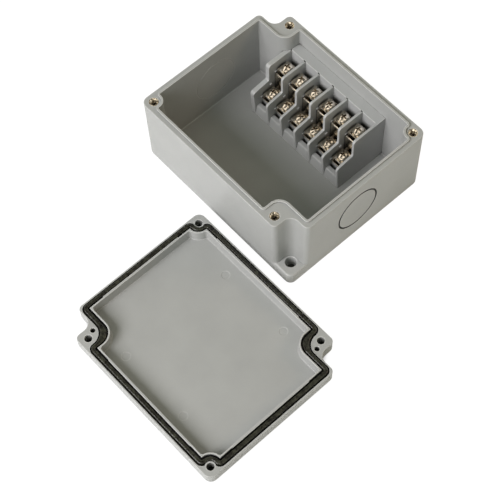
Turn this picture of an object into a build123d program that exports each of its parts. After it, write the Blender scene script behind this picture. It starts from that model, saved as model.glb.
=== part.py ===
from build123d import *
import math
import os

# Terminal box: a moulded base with a stepped six-way terminal block, and its cover lying upside down beside it.
# Millimetres. The origin is the middle of the base's underside; X runs along the long side, Y towards the block.

# Enclosure outline
BOX_L = 125.0
BOX_W = 103.5
BASE_H = 50.8
CORNER_R = 4.5
BASE_DRAFT = 0.5
WALL = 4.0
FLOOR_T = 3.0
CAVITY_DRAFT = 0.5
FLOOR_FILLET = 0.8
BOTTOM_EDGE_R = 1.0
RIM_EDGE_R = 0.4

# Mounting feet in two opposite corners
NOTCH_L = 12.9
NOTCH_W = 12.5
NOTCH_R = 5.6
NOTCH_MOUTH_R = 3.0
NOTCH_DRAFT = 0.35
FOOT_T = 8.6
FOOT_EDGE_R = 1.3
FOOT_HOLE_D = 6.5
FOOT_HOLE_INSET = 8.1
FOOT_HOLE_CHAMFER = 0.35
FOOT_LAP = 0.5

# Cover screw bosses and their threaded inserts
BOSS_INSET = 5.4
BOSS_R = 5.4
BOSS_SIDE_INSET = 18.4
BOSS_BLOCK_L = 25.7
BOSS_BLOCK_R = 7.4
BOSS_CORNER_R = 1.0
NOTCH_WALL = 3.85
INSERT_D = 5.8
INSERT_LEN = 9.0
INSERT_THREAD_D = 4.0
INSERT_MINOR_D = 3.3
KNURL_TEETH = 20
KNURL_DEPTH = 0.22
KNURL_LEN = 3.6
KNURL_FIT = 0.005
KNURL_ROOT = 0.02
INSERT_LEAD = 0.45

# Raised sealing rib round the opening
RIB_T = 1.25
RIB_H = 1.1
RIB_ROOT = 1.0

# Knockout ring in the end walls
KNOCK_D = 28.7
KNOCK_GROOVE_W = 1.0
KNOCK_GROOVE_DEPTH = 1.0
KNOCK_MARK_W = 0.8
KNOCK_MARK_DEPTH = 0.15
KNOCK_Z = 27.3

# Cover and seal
COVER_H = 9.0
COVER_TOP_T = 3.4
COVER_DRAFT = 0.25
COVER_EDGE_R = 1.4
LIP_T = 0.8
LIP_H = 1.5
LIP_PAD_T = 0.4
LIP_PAD_GAP = 11.0
LIP_PAD_BOSS_GAP = 10.0
LIP_CLEARANCE = 1.2
RECESS_DRAFT = 0.5
RECESS_FILLET = 0.5
RECESS_CORNER_R = 1.8
GROOVE_DEPTH = 2.8
GROOVE_RIM = 0.9
GROOVE_BLOCK_R = 7.6
GASKET_W = 2.4
GASKET_INSET = 1.75
GASKET_PROUD = 1.1
GASKET_EDGE_R = 0.7
SCREW_WALL = 0.8
COVER_HOLE_D = 4.5
COVER_BORE_D = 8.2
COVER_BORE_DEPTH = 3.0
SMALL_HOLE_D = 3.0
SMALL_HOLE_DEPTH = 6.0
SMALL_HOLE_INSET_X = 16.3
SMALL_HOLE_INSET_Y = 10.35
EJECTOR_D = 5.0
EJECTOR_DEPTH = 0.15
EJECTOR_INSET_X = 38.5
EJECTOR_INSET_Y = 14.8
COVER_SHIFT_X = 57.8
COVER_GAP_Y = 8.0
COVER_TURN = 0.4

# Terminal block
POLES = 6
PITCH = 11.9
BARRIER_T = 1.6
BLOCK_LAP = 2.6
END_WALL_T = 3.0
BLOCK_TOP = 39.6
BLOCK_GAP = 0.05
FRONT_FOOT_Y = 11.4
FRONT_Y = 10.3
FRONT_R = 2.4
LOW_Z = 24.1
STEP_Y = 22.7
STEP_Z = 26.0
STEP_R = 0.9
UPPER_R = 2.2
SHELF_Y = 41.0
SHELF_NOTCH_W = 0.9
SHELF_NOTCH_DEPTH = 0.8
BARRIER_EDGE_R = 0.4
FRONT_BLOCK_Z = 10.2
FRONT_BLOCK_Y = 12.9
FRONT_BLOCK_BACK = 15.6
FRONT_BLOCK_R = 0.9
SLOT_BOTTOM = 7.0
SLOT_BACK = 17.6
POCKET_BOTTOM = 23.0
CORE_TOP = 21.0
CORE_FRONT = 31.0
CORE_REACH = 4.5
NIB_L = 1.5
NIB_H = 0.6
NIB_T = 0.9
NIB_RISE = 1.0
NIB_FRONT_IN = 0.2
NIB_REAR_IN = 0.9
NIB_STEP_IN = 1.2
NIB_STEP_DROP = 4.0

# Terminal strips, clamps and screws
STRIP_T = 1.5
STRIP_W = 9.2
STRIP_FRONT_Y = 16.6
STRIP_RISER_Y = 27.3
STRIP_REAR_Y = 38.2
LOWER_PLATE_Z = 15.2
UPPER_PLATE_Z = 29.8
STRIP_BEND_R = 0.8
LOWER_SCREW_Y = 21.3
UPPER_SCREW_Y = 32.8
CLAMP_W = 8.4
CLAMP_T = 1.0
CLAMP_LEG_T = 1.0
CLAMP_LEG_H = 1.6
CLAMP_RAISE = 1.2
CLAMP_EDGE_R = 0.35
SCREW_D = 3.5
SCREW_PITCH = 0.6
SCREW_LEN = 8.0
HEAD_D = 7.0
HEAD_H = 2.8
HEAD_SIDE_H = 1.1
HEAD_EDGE_R = 0.5
RECESS_SPAN = 4.2
RECESS_W = 1.1
RECESS_DEPTH = 1.7
RECESS_TAPER = 0.33
SCREW_TIP = 0.49
SCREW_TURN = 17.0
THREAD_FIT = 0.05
CLAMP_FIT = 0.06
SHANK_ROOM = 0.5
WELL_ROOM = 0.6

# Room for the shapes that cut, and how far draft may move an edge from its outline
OVERRUN = 20.0
DRAFT_SLACK = 0.6
NEARLY = 0.9

# Values that follow from the sizes above
HALF_L = BOX_L / 2
HALF_W = BOX_W / 2
OPEN_X = HALF_L - WALL
OPEN_Y = HALF_W - WALL
NOTCH_X = HALF_L - NOTCH_L
NOTCH_Y = HALF_W - NOTCH_W
BOSS_X = HALF_L - BOSS_INSET
BOSS_Y = HALF_W - BOSS_INSET
BOSS_SIDE_X = HALF_L - BOSS_SIDE_INSET
BOSS_BLOCK_X = HALF_L - BOSS_BLOCK_L
BOSS_BLOCK_Y = NOTCH_Y - NOTCH_WALL
FOOT_X = HALF_L - FOOT_HOLE_INSET
FOOT_Y = HALF_W - FOOT_HOLE_INSET
SCREW_POINTS = [(-BOSS_X, -BOSS_Y), (BOSS_X, BOSS_Y), (BOSS_SIDE_X, -BOSS_Y), (-BOSS_SIDE_X, BOSS_Y)]
BLOCK_X0 = -(BOSS_BLOCK_X + BLOCK_LAP)
BARRIER_X = [BLOCK_X0 + END_WALL_T - BARRIER_T / 2 + PITCH * i for i in range(POLES + 1)]
BAY_X = [x + PITCH / 2 for x in BARRIER_X[:POLES]]
BLOCK_X1 = BARRIER_X[-1] + BARRIER_T / 2
BAY_W = PITCH - BARRIER_T
BASE_ANGLE = math.degrees(math.atan(BASE_DRAFT / BASE_H))
CAVITY_H = BASE_H + RIB_H - FLOOR_T
CAVITY_ANGLE = math.degrees(math.atan(CAVITY_DRAFT / CAVITY_H))


def grounded_prism(face, top, bottom, inset):
    """A prism below a face at height top, drawn in by inset at height bottom."""
    depth = top - bottom
    angle = math.degrees(math.atan(inset / depth))
    return extrude(Pos(0, 0, top) * face, amount=depth, dir=(0, 0, -1), taper=angle)


def opening_face(grow=0.0, block_r=BOSS_BLOCK_R):
    """The outline of the base's opening, seen from above, moved outwards by grow."""
    sketch = Sketch() + Rectangle(2 * OPEN_X, 2 * OPEN_Y)
    for sign in (-1, 1):
        sketch -= Pos(sign * BOSS_X, sign * BOSS_Y) * Circle(BOSS_R)
        width = OPEN_X - BOSS_BLOCK_X + OVERRUN
        height = OPEN_Y - BOSS_BLOCK_Y + OVERRUN
        middle = Pos(sign * (BOSS_BLOCK_X + width / 2), -sign * (BOSS_BLOCK_Y + height / 2))
        sketch -= middle * RectangleRounded(width, height, block_r)
    on_edge = [v for v in sketch.vertices() if near(abs(v.X), OPEN_X) or near(abs(v.Y), OPEN_Y)]
    sketch = fillet(on_edge, BOSS_CORNER_R)
    if abs(grow) > 1e-6:
        sketch = offset(sketch, amount=grow, kind=Kind.INTERSECTION)
    return sketch.face()


def notch_face(extra=6.0):
    """The outline of one mounting corner's recess, in the corner at +X and -Y."""
    width = NOTCH_L + extra
    height = NOTCH_W + extra
    sketch = Pos(NOTCH_X + width / 2, -NOTCH_Y - height / 2) * Rectangle(width, height)
    inner = [v for v in sketch.vertices() if near(v.X, NOTCH_X) and near(v.Y, -NOTCH_Y)]
    return fillet(inner, NOTCH_R).face()


def both_corners(thing):
    """The thing together with its copy turned half a turn about the box's middle."""
    return [thing, Rot(0, 0, 180) * thing]


def near(value, other, limit=0.02):
    return abs(value - other) < limit


def cavity_solid(grow=0.0):
    """The space inside the base, from the floor to above the rib."""
    top = BASE_H + RIB_H
    body = grounded_prism(opening_face(grow), top, FLOOR_T, CAVITY_DRAFT)
    floor_edges = body.faces().sort_by(Axis.Z)[0].edges()
    return fillet(floor_edges, FLOOR_FILLET)


def mouth_edges(body, height):
    """The upright edges where the mounting corners' recesses open through the outer walls."""
    found = []
    for e in body.edges():
        c = e.center()
        tall = e.length > height * NEARLY and abs(e.tangent_at(0.5).Z) > NEARLY
        side_x = near(abs(c.X), NOTCH_X, DRAFT_SLACK) and abs(c.Y) > HALF_W - DRAFT_SLACK
        side_y = near(abs(c.Y), NOTCH_Y, DRAFT_SLACK) and abs(c.X) > HALF_L - DRAFT_SLACK
        if tall and (side_x or side_y) and c.X * c.Y < 0:
            found.append(e)
    return found


def outer_prism():
    """The base's outside as if it had no mounting corners."""
    return grounded_prism(RectangleRounded(BOX_L, BOX_W, CORNER_R).face(), BASE_H, 0, BASE_DRAFT)


def mounting_feet():
    """The flanges left at the bottom of the mounting corners, with rounded top edges."""
    slab = outer_prism() & (Pos(0, 0, FOOT_T / 2) * Box(2 * BOX_L, 2 * BOX_W, FOOT_T))
    slab = fillet(slab.faces().sort_by(Axis.Z)[-1].edges(), FOOT_EDGE_R)
    reach = offset(notch_face(), amount=NOTCH_MOUTH_R + FOOT_LAP, kind=Kind.ARC).face()
    feet = []
    for region in both_corners(extrude(reach, amount=FOOT_T)):
        feet.append(slab & region)
    return feet


def knockout_ring(width, depth):
    """A ring that cuts depth into a wall on whose face its middle lies."""
    outer = KNOCK_D / 2 + width / 2
    return Cylinder(outer, 2 * depth) - Cylinder(outer - width, 2 * depth)


def base_housing():
    """The moulded base with its bosses, sealing rib, mounting feet and knockout rings."""
    body = outer_prism()
    for cut in both_corners(grounded_prism(notch_face(), BASE_H, 0, NOTCH_DRAFT)):
        body -= cut
    body = fillet(mouth_edges(body, BASE_H), NOTCH_MOUTH_R)
    for foot in mounting_feet():
        body += foot
    body = fillet(body.faces().sort_by(Axis.Z)[0].edges(), BOTTOM_EDGE_R)
    body = fillet(body.faces().sort_by(Axis.Z)[-1].edges(), RIM_EDGE_R)
    body += extrude(Pos(0, 0, BASE_H - RIB_ROOT) * opening_face(RIB_T), amount=RIB_ROOT + RIB_H)
    body -= cavity_solid()
    hole = Cylinder(FOOT_HOLE_D / 2, FOOT_T * 4)
    lead = Cone(
        FOOT_HOLE_D / 2, FOOT_HOLE_D / 2 + FOOT_HOLE_CHAMFER, FOOT_HOLE_CHAMFER,
        align=(Align.CENTER, Align.CENTER, Align.MAX),
    )
    for cut in both_corners(Pos(FOOT_X, -FOOT_Y, 0) * hole):
        body -= cut
    for cut in both_corners(Pos(FOOT_X, -FOOT_Y, FOOT_T) * lead):
        body -= cut
    seat = Cylinder(INSERT_D / 2, INSERT_LEN, align=(Align.CENTER, Align.CENTER, Align.MAX))
    for x, y in SCREW_POINTS:
        body -= Pos(x, y, BASE_H) * seat
    groove = knockout_ring(KNOCK_GROOVE_W, KNOCK_GROOVE_DEPTH)
    mark = knockout_ring(KNOCK_MARK_W, KNOCK_MARK_DEPTH)
    outer_x = HALF_L - BASE_DRAFT * (BASE_H - KNOCK_Z) / BASE_H
    inner_x = OPEN_X - CAVITY_DRAFT * (BASE_H + RIB_H - KNOCK_Z) / CAVITY_H
    for sign in (-1, 1):
        body -= Pos(sign * outer_x, 0, KNOCK_Z) * Rot(0, sign * (90 + BASE_ANGLE), 0) * groove
        body -= Pos(sign * inner_x, 0, KNOCK_Z) * Rot(0, sign * (90 + CAVITY_ANGLE), 0) * mark
    return body


def threaded_insert():
    """One knurled brass insert, its top face at height zero."""
    root = INSERT_D / 2 - KNURL_DEPTH
    body = Cylinder(root, INSERT_LEN, align=(Align.CENTER, Align.CENTER, Align.MAX))
    points = []
    for i in range(KNURL_TEETH):
        for k, r in ((0, INSERT_D / 2 - KNURL_FIT), (1, root - KNURL_ROOT)):
            a = 2 * math.pi * (i + k / 2) / KNURL_TEETH
            points.append((r * math.cos(a), r * math.sin(a)))
    star = make_face(Polyline(*points, close=True))
    for top in (0, KNURL_LEN - INSERT_LEN):
        body += Pos(0, 0, top) * extrude(star, amount=-KNURL_LEN)
    body -= Cylinder(INSERT_MINOR_D / 2, INSERT_LEN, align=(Align.CENTER, Align.CENTER, Align.MAX))
    lead = (INSERT_THREAD_D - INSERT_MINOR_D) / 2 + INSERT_LEAD
    bore_r = INSERT_MINOR_D / 2
    return body - Cone(bore_r, bore_r + lead, lead, align=(Align.CENTER, Align.CENTER, Align.MAX))


def cover_place(thing):
    """Takes a thing from the cover's own axes to where the cover lies beside the base."""
    return Pos(COVER_SHIFT_X, -BOX_W - COVER_GAP_Y, 0) * Rot(0, 0, COVER_TURN) * thing


def flipped(thing):
    """The outline as it looks once the cover is turned over about its long axis."""
    return mirror(thing, about=Plane.XZ)


def lip_pads():
    """Thicker runs on the sealing side of the lip, away from the corners."""
    outer = LIP_CLEARANCE - LIP_PAD_T
    near_boss_x = BOSS_BLOCK_X - LIP_PAD_GAP
    far_x = BOSS_X - BOSS_R - LIP_PAD_BOSS_GAP
    near_boss_y = BOSS_BLOCK_Y - LIP_PAD_GAP
    far_y = BOSS_Y - BOSS_R - LIP_PAD_BOSS_GAP
    height = GROOVE_DEPTH + LIP_H
    z = COVER_H - GROOVE_DEPTH + height / 2
    pads = []
    long_run = near_boss_x + far_x
    short_run = near_boss_y + far_y
    for sign in (-1, 1):
        middle_x = sign * (near_boss_x - far_x) / 2
        y = -sign * (OPEN_Y - outer - LIP_T / 2)
        pads.append(Pos(middle_x, y, z) * Box(long_run, LIP_T, height))
        middle_y = -sign * (near_boss_y - far_y) / 2
        x = sign * (OPEN_X - outer - LIP_T / 2)
        pads.append(Pos(x, middle_y, z) * Box(LIP_T, short_run, height))
    return pads


def seal_face(inset):
    """An outline in the gasket groove, at inset from the box's sides and rounder at the mounting corners."""
    return opening_face(WALL - inset, GROOVE_BLOCK_R + WALL - GROOVE_RIM)


def groove_face():
    """The outline of the gasket groove's outer wall, kept clear of the cover's screw holes."""
    sketch = Sketch() + seal_face(GROOVE_RIM)
    for x, y in SCREW_POINTS:
        sketch -= Pos(x, y) * Circle(COVER_HOLE_D / 2 + SCREW_WALL)
    return sketch.faces().sort_by(SortBy.AREA)[-1]


def recess_face():
    """The outline of the lip's inner wall, with rounded corners at the walls."""
    inset = LIP_CLEARANCE + LIP_T
    sketch = Sketch() + opening_face(-inset)
    corners = [
        v for v in sketch.vertices()
        if near(abs(v.X), OPEN_X - inset) or near(abs(v.Y), OPEN_Y - inset)
    ]
    return fillet(corners, RECESS_CORNER_R).face()


def cover_shell():
    """The cover lying on its outer face, with its groove, lip and recess upwards."""
    outline = RectangleRounded(BOX_L, BOX_W, CORNER_R).face()
    body = grounded_prism(outline, COVER_H, 0, COVER_DRAFT)
    for cut in both_corners(extrude(Pos(0, 0, -1) * notch_face(), amount=COVER_H + 2)):
        body -= cut
    body = fillet(mouth_edges(body, COVER_H), NOTCH_MOUTH_R)
    body = fillet(body.faces().sort_by(Axis.Z)[0].edges(), COVER_EDGE_R)
    body = fillet(body.faces().sort_by(Axis.Z)[-1].edges(), RIM_EDGE_R)
    lip_outer = opening_face(-LIP_CLEARANCE)
    body -= extrude(Pos(0, 0, COVER_H - GROOVE_DEPTH) * groove_face(), amount=GROOVE_DEPTH + 1)
    body += extrude(Pos(0, 0, COVER_H - GROOVE_DEPTH) * lip_outer, amount=GROOVE_DEPTH + LIP_H)
    for pad in lip_pads():
        body += pad
    recess = grounded_prism(recess_face(), COVER_H + LIP_H, COVER_TOP_T, RECESS_DRAFT)
    body -= fillet(recess.faces().sort_by(Axis.Z)[0].edges(), RECESS_FILLET)
    through = Cylinder(COVER_HOLE_D / 2, COVER_H * 3)
    bore = Cylinder(COVER_BORE_D / 2, COVER_BORE_DEPTH, align=(Align.CENTER, Align.CENTER, Align.MIN))
    for x, y in SCREW_POINTS:
        body -= Pos(x, y, 0) * through
        body -= Pos(x, y, 0) * bore
    blind = Cylinder(SMALL_HOLE_D / 2, SMALL_HOLE_DEPTH, align=(Align.CENTER, Align.CENTER, Align.MAX))
    small = Pos(HALF_L - SMALL_HOLE_INSET_X, -HALF_W + SMALL_HOLE_INSET_Y, COVER_H)
    for cut in both_corners(small * blind):
        body -= cut
    mark = Cylinder(EJECTOR_D / 2, EJECTOR_DEPTH * 2)
    for sx in (-1, 1):
        for sy in (-1, 1):
            x = sx * (HALF_L - EJECTOR_INSET_X)
            y = sy * (HALF_W - EJECTOR_INSET_Y)
            body -= Pos(x, y, COVER_TOP_T) * mark
    return cover_place(flipped(body))


def cover_gasket():
    """The rubber seal standing in the cover's groove."""
    height = GROOVE_DEPTH + GASKET_PROUD
    body = extrude(seal_face(GASKET_INSET), amount=height)
    body -= extrude(opening_face(WALL - GASKET_INSET - GASKET_W), amount=height)
    body = fillet(body.faces().sort_by(Axis.Z)[-1].edges(), GASKET_EDGE_R)
    return cover_place(flipped(Pos(0, 0, COVER_H - GROOVE_DEPTH) * body))


def barrier_profile():
    """Side outline of a barrier: low front part, sloped step, upright step and high rear part."""
    points = [
        (FRONT_FOOT_Y, FLOOR_T),
        (FRONT_Y, LOW_Z - FRONT_R),
        (FRONT_Y, LOW_Z),
        (STEP_Y, STEP_Z),
        (STEP_Y, BLOCK_TOP),
        (HALF_W, BLOCK_TOP),
        (HALF_W, FLOOR_T),
    ]
    face = make_face(Polyline(*points, close=True))
    def at(y, z):
        return [v for v in face.vertices() if near(v.X, y) and near(v.Y, z)]
    face = fillet(at(FRONT_Y, LOW_Z), FRONT_R)
    face = fillet(at(STEP_Y, STEP_Z), STEP_R)
    face = fillet(at(STEP_Y, BLOCK_TOP), UPPER_R)
    return face


def side_plate(face, x, thickness):
    """A side outline drawn in (y, z), stood up and given a thickness about the plane at x."""
    return Pos(x, 0, 0) * extrude(Plane.YZ * face, amount=thickness / 2, both=True)


def barrier(x, thickness=BARRIER_T):
    """One barrier wall with rounded front and top edges."""
    body = side_plate(barrier_profile(), x, thickness)
    edges = []
    for e in body.edges():
        c = e.center()
        on_side = near(abs(c.X - x), thickness / 2) and e.bounding_box().size.X < 0.01
        if on_side and c.Z > FLOOR_T + 0.1 and c.Y < HALF_W - 0.1:
            edges.append(e)
    return fillet(edges, BARRIER_EDGE_R)


def block_core_profile():
    """Side outline of the moulding between two barriers, with its ledges, slot, pocket and rear wall."""
    points = [
        (FRONT_FOOT_Y, FLOOR_T),
        (FRONT_BLOCK_Y, FRONT_BLOCK_Z),
        (FRONT_BLOCK_BACK, FRONT_BLOCK_Z),
        (FRONT_BLOCK_BACK, SLOT_BOTTOM),
        (SLOT_BACK, SLOT_BOTTOM),
        (SLOT_BACK, LOWER_PLATE_Z - STRIP_T),
        (STRIP_RISER_Y + STRIP_T, LOWER_PLATE_Z - STRIP_T),
        (STRIP_RISER_Y + STRIP_T, UPPER_PLATE_Z - STRIP_T),
        (STRIP_REAR_Y, UPPER_PLATE_Z - STRIP_T),
        (STRIP_REAR_Y, POCKET_BOTTOM),
        (SHELF_Y, POCKET_BOTTOM),
        (SHELF_Y, BLOCK_TOP),
        (HALF_W, BLOCK_TOP),
        (HALF_W, FLOOR_T),
    ]
    face = make_face(Polyline(*points, close=True))
    corner = [v for v in face.vertices() if near(v.X, FRONT_BLOCK_Y) and near(v.Y, FRONT_BLOCK_Z)]
    return fillet(corner, FRONT_BLOCK_R)


def nib(x, y, z):
    """A small bump on a barrier's right side that keeps a strip down."""
    return Pos(x, y, z) * Box(2 * NIB_H, NIB_L, NIB_T)


def shank_reach():
    """How far a screw's end lies below its plate when it is driven right down."""
    raised = CLAMP_T + CLAMP_LEG_H + CLAMP_RAISE
    return SCREW_LEN - raised + CLAMP_RAISE


def terminal_block():
    """The stepped block moulding with its barriers, seated on the floor and against the walls."""
    length = BLOCK_X1 - BLOCK_X0
    body = side_plate(block_core_profile(), (BLOCK_X0 + BLOCK_X1) / 2, length)
    room = shank_reach() + SHANK_ROOM
    well = Cylinder(SCREW_D / 2 + WELL_ROOM, room, align=(Align.CENTER, Align.CENTER, Align.MAX))
    depth = SHELF_Y + CORE_REACH - CORE_FRONT
    core = Box(BAY_W, depth, CORE_TOP, align=(Align.CENTER, Align.MIN, Align.MIN))
    for x in BAY_X:
        body -= Pos(x, CORE_FRONT, 0) * core
        body -= Pos(x, LOWER_SCREW_Y, LOWER_PLATE_Z) * well
        body -= Pos(x, UPPER_SCREW_Y, UPPER_PLATE_Z) * well
    body += barrier(BLOCK_X0 + END_WALL_T / 2, END_WALL_T)
    for x in BARRIER_X[1:]:
        body += barrier(x)
    for x in BARRIER_X[:POLES]:
        body -= Pos(x, SHELF_Y, BLOCK_TOP) * Box(BARRIER_T, SHELF_NOTCH_W, 2 * SHELF_NOTCH_DEPTH)
        side = x + BARRIER_T / 2
        body += nib(side, STRIP_RISER_Y + NIB_REAR_IN, UPPER_PLATE_Z + NIB_RISE)
        body += nib(side, STEP_Y + NIB_STEP_IN, STEP_Z - NIB_STEP_DROP)
        body += nib(side, STRIP_FRONT_Y + NIB_FRONT_IN, LOWER_PLATE_Z + NIB_RISE)
    return (body & cavity_solid(-BLOCK_GAP)).solids().sort_by(SortBy.VOLUME)[-1]


def terminal_strip(x):
    """One stepped metal strip that joins the two terminals of a pole."""
    points = [
        (STRIP_FRONT_Y, LOWER_PLATE_Z - STRIP_T),
        (STRIP_RISER_Y + STRIP_T, LOWER_PLATE_Z - STRIP_T),
        (STRIP_RISER_Y + STRIP_T, UPPER_PLATE_Z - STRIP_T),
        (STRIP_REAR_Y, UPPER_PLATE_Z - STRIP_T),
        (STRIP_REAR_Y, UPPER_PLATE_Z),
        (STRIP_RISER_Y, UPPER_PLATE_Z),
        (STRIP_RISER_Y, LOWER_PLATE_Z),
        (STRIP_FRONT_Y, LOWER_PLATE_Z),
    ]
    face = make_face(Polyline(*points, close=True))
    bends = [
        v for v in face.vertices()
        if near(v.X, STRIP_RISER_Y) and (near(v.Y, UPPER_PLATE_Z) or near(v.Y, LOWER_PLATE_Z))
    ]
    face = fillet(bends, STRIP_BEND_R)
    body = side_plate(face, x, STRIP_W)
    tap = Cylinder(SCREW_D / 2 + THREAD_FIT, 4 * STRIP_T)
    body -= Pos(x, LOWER_SCREW_Y, LOWER_PLATE_Z) * tap
    body -= Pos(x, UPPER_SCREW_Y, UPPER_PLATE_Z) * tap
    return body


def terminal_clamp():
    """One saddle clamp: a square plate with two side legs, its top face at height zero."""
    plate = Pos(0, 0, -CLAMP_T / 2) * Box(CLAMP_W, CLAMP_W, CLAMP_T)
    height = CLAMP_T + CLAMP_LEG_H
    for sign in (-1, 1):
        x = sign * (CLAMP_W - CLAMP_LEG_T) / 2
        plate += Pos(x, 0, -height / 2) * Box(CLAMP_LEG_T, CLAMP_W, height)
    plate = fillet(plate.edges().filter_by(Axis.Y).group_by(Axis.Z)[-1], CLAMP_EDGE_R)
    return plate - Cylinder(SCREW_D / 2 + CLAMP_FIT, 6 * CLAMP_T)


def terminal_screw():
    """One domed screw with a cross recess; the underside of its head is at height zero."""
    rise = HEAD_H - HEAD_SIDE_H
    dome_r = ((HEAD_D / 2) ** 2 + rise ** 2) / (2 * rise)
    head = Pos(0, 0, HEAD_H / 2) * Cylinder(HEAD_D / 2, HEAD_H)
    head = head & (Pos(0, 0, HEAD_H - dome_r) * Sphere(dome_r))
    side = head.faces().filter_by(GeomType.CYLINDER)[0]
    head = fillet(side.edges().filter_by(GeomType.CIRCLE).sort_by(Axis.Z)[-1], HEAD_EDGE_R)
    for turn in (0, 90):
        bar = Rot(0, 0, turn) * Rectangle(RECESS_SPAN, RECESS_W).face()
        head -= grounded_prism(bar, HEAD_H, HEAD_H - RECESS_DEPTH, RECESS_TAPER)
    shank = Cylinder(SCREW_D / 2, SCREW_LEN, align=(Align.CENTER, Align.CENTER, Align.MAX))
    shank = chamfer(shank.edges().group_by(Axis.Z)[0], SCREW_TIP)
    return head + shank


def export(name, thing, colour):
    """Writes one node's STEP file."""
    thing.label = name
    thing.color = Color(*colour)
    export_step(thing, os.path.join("parts", name + ".step"))


def build():
    os.makedirs("parts", exist_ok=True)
    grey = (0.60, 0.60, 0.58)
    brass = (0.72, 0.58, 0.32)
    nickel = (0.72, 0.70, 0.66)
    rubber = (0.05, 0.05, 0.05)
    export("base_housing", base_housing(), grey)
    export("terminal_block", terminal_block(), grey)
    for i, (x, y) in enumerate(SCREW_POINTS, 1):
        export(f"insert_{i}", Pos(x, y, BASE_H) * threaded_insert(), brass)
    rows = (("lower", LOWER_SCREW_Y, LOWER_PLATE_Z), ("upper", UPPER_SCREW_Y, UPPER_PLATE_Z))
    for i, x in enumerate(BAY_X, 1):
        export(f"strip_{i}", terminal_strip(x), nickel)
        for row, y, plate in rows:
            top = plate + CLAMP_RAISE + CLAMP_LEG_H + CLAMP_T
            export(f"clamp_{row}_{i}", Pos(x, y, top) * terminal_clamp(), nickel)
            export(f"screw_{row}_{i}", Pos(x, y, top) * Rot(0, 0, SCREW_TURN * i) * terminal_screw(), nickel)
    export("cover_shell", cover_shell(), grey)
    export("cover_gasket", cover_gasket(), rubber)


build()
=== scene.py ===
import bpy
import math
from mathutils import Matrix, Vector


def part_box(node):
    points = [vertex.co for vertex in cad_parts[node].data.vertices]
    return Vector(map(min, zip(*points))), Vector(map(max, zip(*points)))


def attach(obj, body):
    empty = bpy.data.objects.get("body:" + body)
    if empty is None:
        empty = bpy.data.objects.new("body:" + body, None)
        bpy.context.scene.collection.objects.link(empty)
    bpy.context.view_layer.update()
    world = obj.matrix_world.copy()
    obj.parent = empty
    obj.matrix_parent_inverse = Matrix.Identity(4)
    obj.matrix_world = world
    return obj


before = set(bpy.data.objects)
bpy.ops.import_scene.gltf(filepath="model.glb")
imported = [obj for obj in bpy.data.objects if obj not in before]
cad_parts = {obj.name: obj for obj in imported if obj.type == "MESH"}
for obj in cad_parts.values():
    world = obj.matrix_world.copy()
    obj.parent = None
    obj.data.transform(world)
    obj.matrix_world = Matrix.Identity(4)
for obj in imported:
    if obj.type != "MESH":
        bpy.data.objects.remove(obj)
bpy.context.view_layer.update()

# One millimetre, in the scene's metres
MM = 0.001

# Camera: a long lens looking down past the base's near corner
CAM_AZIMUTH = 50.29
CAM_ELEVATION = 61.70
CAM_ROLL = -2.617
CAM_DISTANCE = 873.1 * MM
CAM_TARGET = (15.36 * MM, -40.77 * MM, -34.32 * MM)
CAM_LENS = 104.6
CAM_SENSOR = 36.0
CAM_CLIP = 50.0 * MM

# Floor: a sheet that is seen and glows evenly, and one just below it that throws light back up.
# The glow fades near the object, from full at the second openness in GLOW_EDGE to none at the first.
# The fade is painted shade: it darkens the floor in holes and along the object's foot.
FLOOR_SIZE = 20.0
FLOOR_TONE = 0.10
FLOOR_GLOW = 0.97
FLOOR_BOUNCE = 0.92
FLOOR_UNEVENNESS = 0.02
FLOOR_ROUGHNESS = 0.9
FLOOR_SPECULAR = 0.1
BOUNCE_DROP = 0.02 * MM
GLOW_REACH = 9.0 * MM
GLOW_EDGE = (0.26, 0.46)
GLOW_SAMPLES = 32

# Sky: an even one for matt surfaces, and bright and dark patches for shiny ones to mirror
SKY_COLOUR = (0.925, 1.0, 0.845)
SKY_LIGHT = 0.335
PATCH_EDGE = (0.44, 0.54)
PATCH_DARK = (0.02, 0.017, 0.013)
PATCH_BRIGHT = (1.5, 1.38, 1.2)

# Lamps: a soft key light in front of the long wall, a weak warm one behind the right wall, and a low
# fill for the two walls that face away from the camera
LAMP_DISTANCE = 1.4
LAMP_CENTRE = (20.0 * MM, -45.0 * MM, 20.0 * MM)
LAMPS = {
    "key": {"azimuth": 0.0, "elevation": 36.5, "size": 0.80, "power": 24.0, "colour": (1.0, 0.975, 1.0)},
    "back": {"azimuth": 140.0, "elevation": 32.0, "size": 0.45, "power": 3.3, "colour": (1.0, 0.77, 0.56)},
    "fill": {"azimuth": 225.0, "elevation": 10.0, "size": 0.60, "power": 4.0, "colour": (1.0, 0.98, 0.95)},
}

# Noise textures: cells per metre (across the unit sphere for the sky), detail and roughness
CLOUDS = (45.0, 4.0, 0.55)
GLOSS = (900.0, 3.0, 0.5)
SKIN = (2600.0, 2.0, 0.5)
BLOTCHES = (420.0, 4.0, 0.6)
GRAIN = (700.0, 3.0, 0.5)
FILM = (420.0, 5.0, 0.65)
ROLLING_MARKS = (650.0, 3.0, 0.5)
FLOOR_TONES = (3.0, 3.0, 0.5)
SKY_PATCHES = (3.0, 1.5, 0.5)

# Reliefs: height and strength
SKIN_RELIEF = (0.05 * MM, 0.35)
GRAIN_RELIEF = (0.30 * MM, 0.9)
MARKS_RELIEF = (0.12 * MM, 0.7)

# How the names of the metal nodes begin
BRASS_NAMES = ("insert",)
STEEL_NAMES = ("clamp", "screw", "strip")

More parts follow.
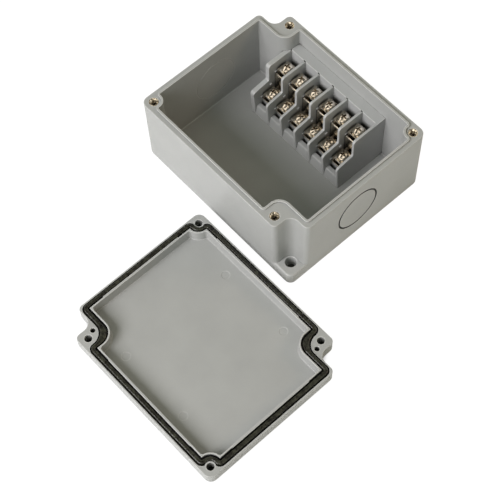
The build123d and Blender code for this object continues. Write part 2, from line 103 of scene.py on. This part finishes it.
# Surfaces: the dark and the light tone, the range of the roughness, and the noise levels (edge) between
# which a surface turns from dark to light
CLOUD_EDGE = (0.3, 0.7)
SHELL = {"dark": (0.316, 0.321, 0.313), "light": (0.342, 0.347, 0.338), "rough": (0.37, 0.48)}
BLOCK = {"dark": (0.354, 0.360, 0.354), "light": (0.382, 0.388, 0.382), "rough": (0.35, 0.46)}
METAL_ROUGH = (0.04, 0.19)
BRASS = {"dark": (0.14, 0.10, 0.05), "light": (1.0, 0.94, 0.80), "edge": (0.40, 0.54)}
NICKEL = {"dark": (0.54, 0.48, 0.39), "light": (0.97, 0.92, 0.84), "edge": (0.30, 0.70)}
RUBBER = {"dark": (0.002, 0.002, 0.001), "light": (0.030, 0.032, 0.021), "edge": (0.38, 0.66)}
RUBBER_ROUGH = (0.06, 0.42)
RUBBER_SPECULAR = 0.40

# Painted shade where a hole, a groove or a corner closes a surface in, and the painted highlight that
# makes outside edges paler: the reach, the openness at which it is full, the openness at which it ends,
# and the tone
HOLE_SHADE = (6.0 * MM, 0.10, 0.44, (0.12, 0.12, 0.10))
GROOVE_SHADE = (2.6 * MM, 0.18, 0.46, (0.05, 0.05, 0.04))
CORNER_SHADE = (1.3 * MM, 0.27, 0.63, (0.03, 0.03, 0.025))
STEEL_SHADE = (1.4 * MM, 0.10, 0.50, (0.26, 0.21, 0.15))
BRASS_SHADE = (6.0 * MM, 0.04, 0.30, (0.04, 0.03, 0.015))
EDGE_PAINTED_HIGHLIGHT = (0.45 * MM, 0.55, 0.97, (0.66, 0.66, 0.64))
EDGE_PAINTED_HIGHLIGHT_AMOUNT = 0.75
SHADE_SAMPLES = 8
EDGE_SOFTNESS = 0.30 * MM
EDGE_SAMPLES = 6

# Painted shade in the knockout grooves, which run round the X axis at this height on both end walls: the
# ring's middle radius, half its width, and the distance from the box's middle beyond which the grooves lie
KNOCK_HEIGHT = 27.3 * MM
KNOCK_GROOVE_R = 14.35 * MM
KNOCK_GROOVE_HALF = 0.62 * MM
KNOCK_FLOOR_X = 60.9 * MM
KNOCK_PAINTED_SHADE = (0.035, 0.035, 0.028)

# Threads in the cover inserts
INSERT_NUMBERS = (1, 2, 3, 4)
INSERT_BORE_R = 1.65 * MM
INSERT_LEAD_DEPTH = 0.8 * MM
THREAD_PITCH = 0.7 * MM
THREAD_CREST = 0.18 * MM
THREAD_SEAT = 0.02 * MM
THREAD_STEPS = 28


def direction(azimuth, elevation):
    """The unit vector towards a place seen from the box; azimuth 0 is along -Y, 90 is along +X."""
    a, e = math.radians(azimuth), math.radians(elevation)
    return Vector((math.sin(a) * math.cos(e), -math.cos(a) * math.cos(e), math.sin(e)))


def add_object(name, data):
    """A new object in the scene."""
    obj = bpy.data.objects.new(name, data)
    bpy.context.scene.collection.objects.link(obj)
    return obj


def new_material(name):
    """A new material with its node tree and its shader."""
    material = bpy.data.materials.new(name)
    material.use_nodes = True
    tree = material.node_tree
    return material, tree, tree.nodes["Principled BSDF"]


def noise(tree, scale, detail, roughness, space="Object"):
    """A noise texture, laid out in the object's own axes unless space says otherwise."""
    coords = tree.nodes.new("ShaderNodeTexCoord")
    node = tree.nodes.new("ShaderNodeTexNoise")
    node.inputs["Scale"].default_value = scale
    node.inputs["Detail"].default_value = detail
    node.inputs["Roughness"].default_value = roughness
    tree.links.new(coords.outputs[space], node.inputs["Vector"])
    return node.outputs["Fac"]


def ramp(tree, source, edge, dark, light):
    """A colour that turns from dark to light while source passes from edge's first value to its second."""
    node = tree.nodes.new("ShaderNodeValToRGB")
    for element, position, colour in zip(node.color_ramp.elements, edge, (dark, light)):
        element.position = position
        element.color = (*colour, 1.0)
    tree.links.new(source, node.inputs["Fac"])
    return node.outputs["Color"]


def spread(tree, source, low, high, first=0.0, last=1.0):
    """Runs from low to high while source passes from first to last."""
    node = tree.nodes.new("ShaderNodeMapRange")
    node.inputs["From Min"].default_value = first
    node.inputs["From Max"].default_value = last
    node.inputs["To Min"].default_value = low
    node.inputs["To Max"].default_value = high
    tree.links.new(source, node.inputs["Value"])
    return node.outputs["Result"]


def bump(tree, shader, relief, height, strength):
    """A fine relief on top of slightly rounded edges."""
    edge = tree.nodes.new("ShaderNodeBevel")
    edge.samples = EDGE_SAMPLES
    edge.inputs["Radius"].default_value = EDGE_SOFTNESS
    node = tree.nodes.new("ShaderNodeBump")
    node.inputs["Distance"].default_value = height
    node.inputs["Strength"].default_value = strength
    tree.links.new(edge.outputs["Normal"], node.inputs["Normal"])
    tree.links.new(relief, node.inputs["Height"])
    tree.links.new(node.outputs["Normal"], shader.inputs["Normal"])


def openness(tree, reach, samples=SHADE_SAMPLES, inside=False):
    """How open a surface is within reach, from 0 to 1; with inside, how open the body behind it is."""
    node = tree.nodes.new("ShaderNodeAmbientOcclusion")
    node.samples = samples
    node.inside = inside
    node.inputs["Distance"].default_value = reach
    return node.outputs["AO"]


def tinted(tree, colour, tone, amount, blend):
    """The colour blended with tone, as far as amount says."""
    mix = tree.nodes.new("ShaderNodeMix")
    mix.data_type = "RGBA"
    mix.blend_type = blend
    mix.inputs["B"].default_value = (*tone, 1.0)
    tree.links.new(amount, mix.inputs["Factor"])
    tree.links.new(colour, mix.inputs["A"])
    return mix.outputs["Result"]


def shaded(tree, colour, shading):
    """The colour, darker where a narrow gap or a corner closes the surface in."""
    reach, full, clear, tone = shading
    amount = spread(tree, openness(tree, reach), 1.0, 0.0, full, clear)
    return tinted(tree, colour, tone, amount, "MULTIPLY")


def painted_edge_highlight(tree, colour):
    """The colour with a painted highlight: paler along outside edges, where the body behind the surface is
    thin.
    """
    reach, full, clear, tone = EDGE_PAINTED_HIGHLIGHT
    amount = spread(tree, openness(tree, reach, inside=True), EDGE_PAINTED_HIGHLIGHT_AMOUNT, 0.0, full, clear)
    return tinted(tree, colour, tone, amount, "MIX")


def maths(tree, operation, first, *values):
    """A Math node on a socket and up to two further values, each a number or a socket."""
    node = tree.nodes.new("ShaderNodeMath")
    node.operation = operation
    tree.links.new(first, node.inputs[0])
    for place, value in enumerate(values, 1):
        if isinstance(value, bpy.types.NodeSocket):
            tree.links.new(value, node.inputs[place])
        else:
            node.inputs[place].default_value = value
    return node.outputs[0]


def knockout_painted_shade(tree, colour):
    """The colour with painted shade: darker in the ring grooves of the two end walls."""
    coords = tree.nodes.new("ShaderNodeTexCoord")
    split = tree.nodes.new("ShaderNodeSeparateXYZ")
    tree.links.new(coords.outputs["Object"], split.inputs["Vector"])
    across = tree.nodes.new("ShaderNodeCombineXYZ")
    tree.links.new(split.outputs["Y"], across.inputs["Y"])
    tree.links.new(split.outputs["Z"], across.inputs["Z"])
    radius = tree.nodes.new("ShaderNodeVectorMath")
    radius.operation = "DISTANCE"
    radius.inputs[1].default_value = (0, 0, KNOCK_HEIGHT)
    tree.links.new(across.outputs["Vector"], radius.inputs[0])
    ring = maths(tree, "COMPARE", radius.outputs["Value"], KNOCK_GROOVE_R, KNOCK_GROOVE_HALF)
    outside = maths(tree, "GREATER_THAN", maths(tree, "ABSOLUTE", split.outputs["X"]), KNOCK_FLOOR_X)
    return tinted(tree, colour, KNOCK_PAINTED_SHADE, maths(tree, "MULTIPLY", ring, outside), "MULTIPLY")


def moulded_plastic(name, dark, light, rough):
    """Satin plastic with faint clouds, uneven gloss, a fine skin, painted edge highlights and painted
    shade in corners.
    """
    material, tree, shader = new_material(name)
    colour = ramp(tree, noise(tree, *CLOUDS), CLOUD_EDGE, dark, light)
    colour = knockout_painted_shade(tree, painted_edge_highlight(tree, colour))
    for shading in (HOLE_SHADE, GROOVE_SHADE, CORNER_SHADE):
        colour = shaded(tree, colour, shading)
    tree.links.new(colour, shader.inputs["Base Color"])
    tree.links.new(spread(tree, noise(tree, *GLOSS), *rough), shader.inputs["Roughness"])
    bump(tree, shader, noise(tree, *SKIN), *SKIN_RELIEF)
    return material


def sealing_rubber():
    """Dark rubber with a mottled tone, a faint grain and small worn patches that shine."""
    material, tree, shader = new_material("black_rubber")
    blotches = noise(tree, *BLOTCHES)
    tree.links.new(ramp(tree, blotches, **RUBBER), shader.inputs["Base Color"])
    tree.links.new(spread(tree, blotches, *RUBBER_ROUGH), shader.inputs["Roughness"])
    shader.inputs["Specular IOR Level"].default_value = RUBBER_SPECULAR
    bump(tree, shader, noise(tree, *GRAIN), *GRAIN_RELIEF)
    return material


def bright_metal(name, tones, shading):
    """Bright metal with a thin uneven film, fine marks from rolling, and painted shade in its hollows."""
    material, tree, shader = new_material(name)
    film = noise(tree, *FILM)
    colour = shaded(tree, ramp(tree, film, **tones), shading)
    tree.links.new(colour, shader.inputs["Base Color"])
    shader.inputs["Metallic"].default_value = 1.0
    tree.links.new(spread(tree, film, *METAL_ROUGH), shader.inputs["Roughness"])
    bump(tree, shader, noise(tree, *ROLLING_MARKS), *MARKS_RELIEF)
    return material


def dress_nodes(brass):
    """Gives every CAD node its material."""
    shell = moulded_plastic("shell_plastic", **SHELL)
    nickel = bright_metal("nickel_plate", NICKEL, STEEL_SHADE)
    special = {
        "terminal_block": moulded_plastic("block_plastic", **BLOCK),
        "cover_gasket": sealing_rubber(),
    }
    for name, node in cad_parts.items():
        if name.startswith(BRASS_NAMES):
            material = brass
        elif name.startswith(STEEL_NAMES):
            material = nickel
        else:
            material = special.get(name, shell)
        node.data.materials.clear()
        node.data.materials.append(material)


def helix_points(turns, radius, top, lift):
    """Points down a right-handed helix about the vertical axis, starting at height top."""
    points = []
    for k in range(int(turns * THREAD_STEPS) + 1):
        a = 2 * math.pi * k / THREAD_STEPS
        z = top - THREAD_PITCH * k / THREAD_STEPS + lift
        points.append((radius * math.cos(a), -radius * math.sin(a), z))
    return points


def thread_mesh(name, top, bottom):
    """A pointed band wound down a bore: three helices, the faces between them and the two ends."""
    turns = (top - bottom) / THREAD_PITCH - 1
    seat = INSERT_BORE_R + THREAD_SEAT
    crest = INSERT_BORE_R - THREAD_CREST
    half = THREAD_PITCH / 2
    bands = [
        helix_points(turns, seat, top, 0),
        helix_points(turns, crest, top, -half / 2),
        helix_points(turns, seat, top, -half),
    ]
    count = len(bands[0])
    faces = []
    for upper in (0, 1, 2):
        lower = (upper + 1) % 3
        for k in range(count - 1):
            a, b = upper * count + k, lower * count + k
            faces.append((a, b, b + 1, a + 1))
    faces.append((0, 2 * count, count))
    faces.append((count - 1, 2 * count - 1, 3 * count - 1))
    mesh = bpy.data.meshes.new(name)
    mesh.from_pydata([p for band in bands for p in band], [], faces)
    mesh.update()
    return mesh


def insert_thread(number, brass):
    """The thread ridge inside one insert."""
    low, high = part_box(f"insert_{number}")
    mesh = thread_mesh(f"thread_{number}", high[2] - INSERT_LEAD_DEPTH, low[2])
    mesh.materials.append(brass)
    thread = add_object(f"thread_{number}", mesh)
    thread.location = ((low[0] + high[0]) / 2, (low[1] + high[1]) / 2, 0)
    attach(thread, "base")


def floor_material(name, tone, glow=0.0):
    """A pale matt surface with a faint unevenness in its tone, which glows white if glow says so, with
    painted shade where the object closes it in.
    """
    material, tree, shader = new_material(name)
    dark = tone * (1 - FLOOR_UNEVENNESS)
    tones = ramp(tree, noise(tree, *FLOOR_TONES), (0.0, 1.0), (dark,) * 3, (tone,) * 3)
    tree.links.new(tones, shader.inputs["Base Color"])
    shader.inputs["Roughness"].default_value = FLOOR_ROUGHNESS
    shader.inputs["Specular IOR Level"].default_value = FLOOR_SPECULAR
    if glow:
        # Painted shade: the glow fades where the object closes the floor in, in holes and along the
        # object's foot.
        lit = spread(tree, openness(tree, GLOW_REACH, GLOW_SAMPLES), 0.0, glow, *GLOW_EDGE)
        tree.links.new(lit, shader.inputs["Emission Strength"])
        shader.inputs["Emission Color"].default_value = (1, 1, 1, 1)
    return material


def floor_sheet(name, material, z=0.0):
    """A large flat sheet, level with the box's underside unless z says otherwise."""
    mesh = bpy.data.meshes.new(name)
    h = FLOOR_SIZE / 2
    mesh.from_pydata([(-h, -h, z), (h, -h, z), (h, h, z), (-h, h, z)], [], [(0, 1, 2, 3)])
    mesh.materials.append(material)
    sheet = add_object(name, mesh)
    return sheet


def lay_floor():
    """A pale floor: one sheet is seen, the other throws light back up at the box."""
    seen = floor_sheet("floor", floor_material("floor_white", FLOOR_TONE, FLOOR_GLOW))
    seen.visible_diffuse = False
    seen.visible_glossy = False
    seen.visible_shadow = False
    bounce = floor_sheet("floor_bounce", floor_material("floor_bounce", FLOOR_BOUNCE), -BOUNCE_DROP)
    bounce.visible_camera = False
    bounce.visible_shadow = False


def unlit_metals():
    """The metal pieces, which mirror the sky's patches but not the lamps."""
    group = bpy.data.collections.new("unlit_metals")
    for name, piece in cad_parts.items():
        if name.startswith(BRASS_NAMES + STEEL_NAMES):
            group.objects.link(piece)
    for number in INSERT_NUMBERS:
        group.objects.link(bpy.data.objects[f"thread_{number}"])
    for entry in group.collection_objects:
        entry.light_linking.link_state = "EXCLUDE"
    return group


def lamp(name, unlit, azimuth, elevation, size, power, colour):
    """A square soft light that faces the object and leaves the unlit pieces out."""
    light = bpy.data.lights.new(name, "AREA")
    light.shape = "SQUARE"
    light.size = size
    light.energy = power
    light.color = colour
    obj = add_object(name, light)
    way = direction(azimuth, elevation)
    obj.location = Vector(LAMP_CENTRE) + way * LAMP_DISTANCE
    obj.rotation_euler = way.to_track_quat("Z", "Y").to_euler()
    obj.light_linking.receiver_collection = unlit


def light_sky():
    """An even sky for matt surfaces; shiny ones mirror patches, as of lamps and a dim room."""
    world = bpy.data.worlds.new("studio")
    world.use_nodes = True
    tree = world.node_tree
    even = tree.nodes["Background"]
    even.inputs["Color"].default_value = (*SKY_COLOUR, 1)
    even.inputs["Strength"].default_value = SKY_LIGHT
    patches = noise(tree, *SKY_PATCHES, space="Generated")
    mirrored = tree.nodes.new("ShaderNodeBackground")
    tree.links.new(ramp(tree, patches, PATCH_EDGE, PATCH_DARK, PATCH_BRIGHT), mirrored.inputs["Color"])
    path = tree.nodes.new("ShaderNodeLightPath")
    both = tree.nodes.new("ShaderNodeMixShader")
    tree.links.new(path.outputs["Is Glossy Ray"], both.inputs["Fac"])
    tree.links.new(even.outputs["Background"], both.inputs[1])
    tree.links.new(mirrored.outputs["Background"], both.inputs[2])
    tree.links.new(both.outputs["Shader"], tree.nodes["World Output"].inputs["Surface"])
    bpy.context.scene.world = world


def light_studio():
    """The sky, and the lamps, which leave the metals out."""
    light_sky()
    unlit = unlit_metals()
    for name, values in LAMPS.items():
        lamp(name, unlit, **values)


def place_camera():
    """The camera, turned about its own line of sight by the roll."""
    data = bpy.data.cameras.new("camera")
    data.lens = CAM_LENS
    data.sensor_width = CAM_SENSOR
    data.clip_start = CAM_CLIP
    back = direction(CAM_AZIMUTH, CAM_ELEVATION)
    right = Vector((0, 0, 1)).cross(back).normalized()
    up = back.cross(right)
    roll = math.radians(CAM_ROLL)
    turned_right = right * math.cos(roll) + up * math.sin(roll)
    turned_up = up * math.cos(roll) - right * math.sin(roll)
    pose = Matrix((turned_right, turned_up, back)).transposed().to_4x4()
    pose.translation = Vector(CAM_TARGET) + back * CAM_DISTANCE
    obj = add_object("camera", data)
    obj.matrix_world = pose
    bpy.context.scene.camera = obj


brass = bright_metal("turned_brass", BRASS, BRASS_SHADE)
dress_nodes(brass)
for number in INSERT_NUMBERS:
    insert_thread(number, brass)
lay_floor()
light_studio()
place_camera()
bpy.context.scene.view_settings.view_transform = "Standard"
